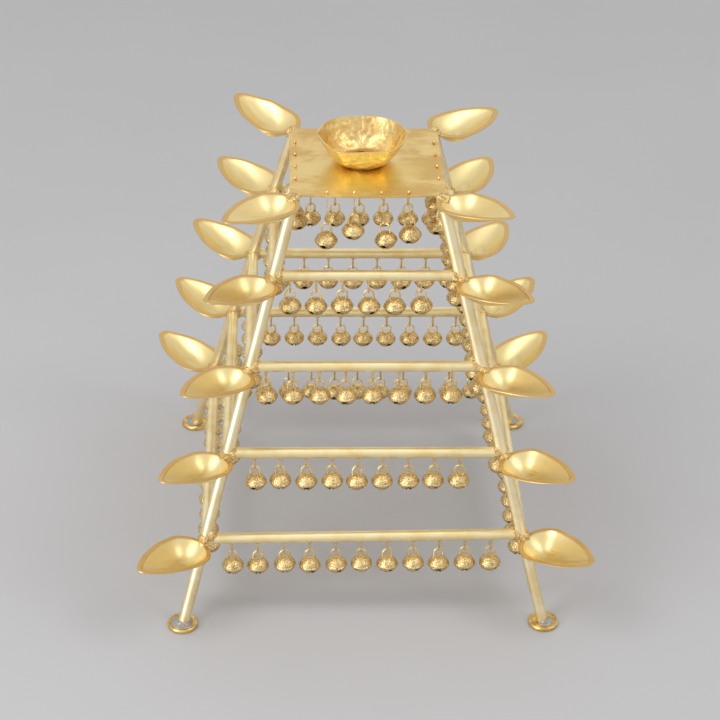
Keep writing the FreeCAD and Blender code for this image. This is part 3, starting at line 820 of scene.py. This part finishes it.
def hung(tier, side, places):
    """The frames that a row's bells hang from: on the hinge, each a little askew."""
    random = np.random.default_rng(100 * tier + SIDES[side])
    leans = BELL_LEANS.get((side, tier), (0,) * len(places))
    return [row_frame(tier, side) @ Matrix.Translation((place, 0, 0))
            @ Matrix.Rotation(random.normal(0, 0.04), 4, "X")
            @ Matrix.Rotation(random.normal(0, 0.025) - math.radians(lean), 4, "Y")
            for place, lean in zip(places, leans)]


def row_of_bells(tier, side, places, drops):
    """Every bell of one row, each body turned its own way under its ring."""
    random = np.random.default_rng(500 + 10 * tier + SIDES[side])
    hangs, spins = [], []
    for frame_of_one, drop in zip(hung(tier, side, places), drops):
        yaw = Matrix.Rotation(random.uniform(-0.3, 0.3), 4, "Z")
        hangs.append(frame_of_one @ yaw @ Matrix.Translation((0, 0, -drop)))
        spins.append(hangs[-1] @ Matrix.Rotation(random.normal(0, 0.4), 4, "Z"))
    made = piece("%s_bells_tier_%d" % (side, tier), [bell_body.placed(spins), bell_ring.placed(hangs)],
                 bell_brass, 50.0)
    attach(made, "bell_row_%s_tier_%d" % (side, tier))
    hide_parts("bells_%s_tier_%d" % (side, tier))


for tier in bar_heights:
    for side in SIDES:
        places = bell_places(tier)
        row_of_bells(tier, side, places, [RING_TOP] * len(places))


# Links: a hairpin of brass wire under a bar for each bell, stuck to the bar with a drop of solder.

LINK_HALF_WIDTH, LINK_WIRE, RUNNING_GAP = 0.0015, 0.00065, 0.0002

wire_brass = Finish("wire_brass", Metallic=1.0)
wire_clouds = wire_brass.noise(wire_brass.place(), 600.0, 3.0)
wire_brass.wear(wire_brass.mix(wire_brass.ease(wire_clouds, 0.35, 0.65), (0.92, 0.74, 0.38, 1.0),
                               (0.68, 0.48, 0.20, 1.0)), wire_clouds * 0.25 + 0.24)
wire_brass.bump(wire_clouds, 0.0002, 0.6)

link_low = LINK_HALF_WIDTH - LINK_WIRE - RING_WIRE - RUNNING_GAP
quarter_turn = Matrix.Rotation(math.pi / 2, 4, "Z")
drop_profile = [(0.0004, -0.0010), (0.0011, -0.0007), (0.0016, 0.0003), (0.0010, 0.0014)]
drop_place = Matrix.Translation((0, 0, RING_DROP - BAR_RADIUS)) @ Matrix.Diagonal((1.7, 1.1, 1.0, 1.0))
link_drop = turned(drop_profile, 8).placed([drop_place])
link_path = hairpin(LINK_HALF_WIDTH, link_low, RING_DROP - BAR_RADIUS + 0.0008, 6)
link_wire = wire(link_path, (0.0, 1.0, 0.0), LINK_WIRE, 7)
links = []
for tier in bar_heights:
    for side in SIDES:
        for place in bell_places(tier):
            spot = row_frame(tier, side) @ Matrix.Translation((place, 0, 0))
            links += [link_wire.placed([spot @ quarter_turn]), link_drop.placed([spot])]
link_wires = piece("bell_hairpins", links, wire_brass, 60.0)
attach(link_wires, "stand")
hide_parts("bell_links")


# Hangers and long loops: a brass bead on the plate, a pin down through the sheet to a small eye, and a
# long loop of thin wire from the eye to each bell of the plate's four rows.

PLATE_BELL_PITCH = 0.0181
PLATE_BELL_DROPS = (0.0355, 0.0295, 0.0355, 0.0325)   # from the plate's top to the middle of each bell
PIN_BEAD_RADIUS = 0.00115
EYE_RADIUS, EYE_WIRE = 0.00125, 0.00035
LOOP_HALF_WIDTH, LOOP_WIRE, LOOP_GAP = 0.0011, 0.0003, 0.00005

hinge_depth = plate_high.z - hinges["swing_front_tier_1"].z
hole_places = PLATE_BELL_PITCH * (np.arange(4) - 1.5)
bead_arc = np.linspace(-1.45, 1.45, 8)
bead_profile = np.stack([PIN_BEAD_RADIUS * np.cos(bead_arc), PIN_BEAD_RADIUS * np.sin(bead_arc)], -1)
bead = turned(bead_profile, 14)
eye_turn = np.linspace(0, 2 * math.pi, 14, False)
eye_path = np.stack([EYE_RADIUS * np.cos(eye_turn), 0 * eye_turn, EYE_RADIUS * np.sin(eye_turn)], -1)
eye = wire(eye_path, (0.0, 1.0, 0.0), EYE_WIRE, 6, True).placed([Matrix.Translation((0, 0, EYE_RADIUS))])
pin = tube((0, 0, 2 * EYE_RADIUS), (0, 0, hinge_depth), EYE_WIRE, 2, 6)


def loop_path(high, low):
    """A long closed loop in the x-z plane: half a circle at the top, half a circle at the bottom."""
    turn = np.linspace(0, math.pi, 7)
    x = LOOP_HALF_WIDTH * np.concatenate([np.cos(turn), -np.cos(turn)])
    z = np.concatenate([high + LOOP_HALF_WIDTH * np.sin(turn), low - LOOP_HALF_WIDTH * np.sin(turn)])
    return np.stack([x, 0 * x, z], -1)


hangers = []
for side in SIDES:
    row = row_frame(1, side)
    drops = [drop - hinge_depth for drop in PLATE_BELL_DROPS]
    row_of_bells(1, side, hole_places, drops)
    loops = []
    for place, drop, hang in zip(hole_places, drops, hung(1, side, hole_places)):
        high = RUNNING_GAP + EYE_WIRE + LOOP_WIRE - LOOP_HALF_WIDTH
        low = LOOP_HALF_WIDTH - RING_WIRE - LOOP_WIRE - LOOP_GAP + RING_TOP - drop
        loop = wire(loop_path(high, low), (0.0, 1.0, 0.0), LOOP_WIRE, 6, True)
        hole = row @ Matrix.Translation((place, 0, 0))
        loops.append(loop.placed([hang @ quarter_turn]))
        spot = hole @ Vector((0, 0, hinge_depth))
        sag = plate_sag(spot.x, spot.y)
        bead_height = hinge_depth + PIN_BEAD_RADIUS * 0.85 - sag
        hangers += [bead.placed([hole @ Matrix.Translation((0, 0, bead_height))]),
                    eye.placed([hole]), pin.placed([hole])]
    wires = piece("long_loops_" + side, loops, wire_brass, 60.0)
    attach(wires, "bell_row_%s_tier_1" % side)
    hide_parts("bell_wires_" + side)
pins = piece("beaded_hangers", hangers, wire_brass, 60.0)
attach(pins, "stand")
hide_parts("plate_hangers")


# Floor, studio light and camera.

FLOOR_HALF = 6.0

floor_mesh = bpy.data.meshes.new("floor")
floor_corners = [(-FLOOR_HALF, -FLOOR_HALF, 0.0), (FLOOR_HALF, -FLOOR_HALF, 0.0),
                 (FLOOR_HALF, FLOOR_HALF, 0.0), (-FLOOR_HALF, FLOOR_HALF, 0.0)]
floor_mesh.from_pydata(floor_corners, [], [(0, 1, 2, 3)])
floor = bpy.data.objects.new("floor", floor_mesh)
bpy.context.scene.collection.objects.link(floor)
floor_paint = Finish("floor_paint", Roughness=0.85)
floor_clouds = floor_paint.noise(floor_paint.place(), 3.0, 5.0, 0.6)
floor_paint.feed(floor_paint.shader.inputs["Base Color"],
                 floor_paint.mix(floor_clouds, (0.47, 0.47, 0.49, 1.0), (0.52, 0.52, 0.54, 1.0)))
floor_mesh.materials.append(floor_paint.material)


def softbox(name, place, target, width, height, power):
    """A rectangular light that faces a point."""
    light = bpy.data.lights.new(name, "AREA")
    light.shape, light.size, light.size_y, light.energy = "RECTANGLE", width, height, power
    lamp = bpy.data.objects.new(name, light)
    lamp.location = place
    lamp.rotation_euler = (Vector(target) - Vector(place)).to_track_quat("-Z", "Y").to_euler()
    bpy.context.scene.collection.objects.link(lamp)


softbox("left_softbox", (-0.70, -0.45, 1.30), (0, 0, 0.15), 0.45, 0.7, 4.2)
softbox("right_softbox", (0.70, -0.35, 1.30), (0, 0, 0.15), 0.35, 0.7, 3.0)
softbox("low_strip", (-1.2, -1.1, 0.35), (0, 0, 0.15), 0.75, 0.7, 9.0)

world = bpy.data.worlds.new("studio")
world.use_nodes = True
world.node_tree.nodes["Background"].inputs["Color"].default_value = (1.0, 0.985, 0.96, 1.0)
world.node_tree.nodes["Background"].inputs["Strength"].default_value = 0.80
bpy.context.scene.world = world
bpy.context.scene.view_settings.view_transform = "Standard"

CAMERA_PLACE = Vector((-0.0552, -1.2675, 0.9334))
CAMERA_PAN, CAMERA_TILT, CAMERA_ROLL = 0.0427557, 0.5589718, 0.0214960
CAMERA_LENS = 103.77

forward = Vector((math.sin(CAMERA_PAN) * math.cos(CAMERA_TILT), math.cos(CAMERA_PAN) * math.cos(CAMERA_TILT),
                  -math.sin(CAMERA_TILT)))
right = Vector((math.cos(CAMERA_PAN), -math.sin(CAMERA_PAN), 0.0))
upward = right.cross(forward)
rolled_right = math.cos(CAMERA_ROLL) * right + math.sin(CAMERA_ROLL) * upward
rolled_up = math.cos(CAMERA_ROLL) * upward - math.sin(CAMERA_ROLL) * right
lens = bpy.data.cameras.new("camera")
lens.lens, lens.sensor_width = CAMERA_LENS, 36.0
lens.clip_start, lens.clip_end = 0.05, 50.0
camera = bpy.data.objects.new("camera", lens)
camera.matrix_world = (Matrix.Translation(CAMERA_PLACE)
                       @ Matrix((rolled_right, rolled_up, -forward)).transposed().to_4x4())
bpy.context.scene.collection.objects.link(camera)
bpy.context.scene.camera = camera
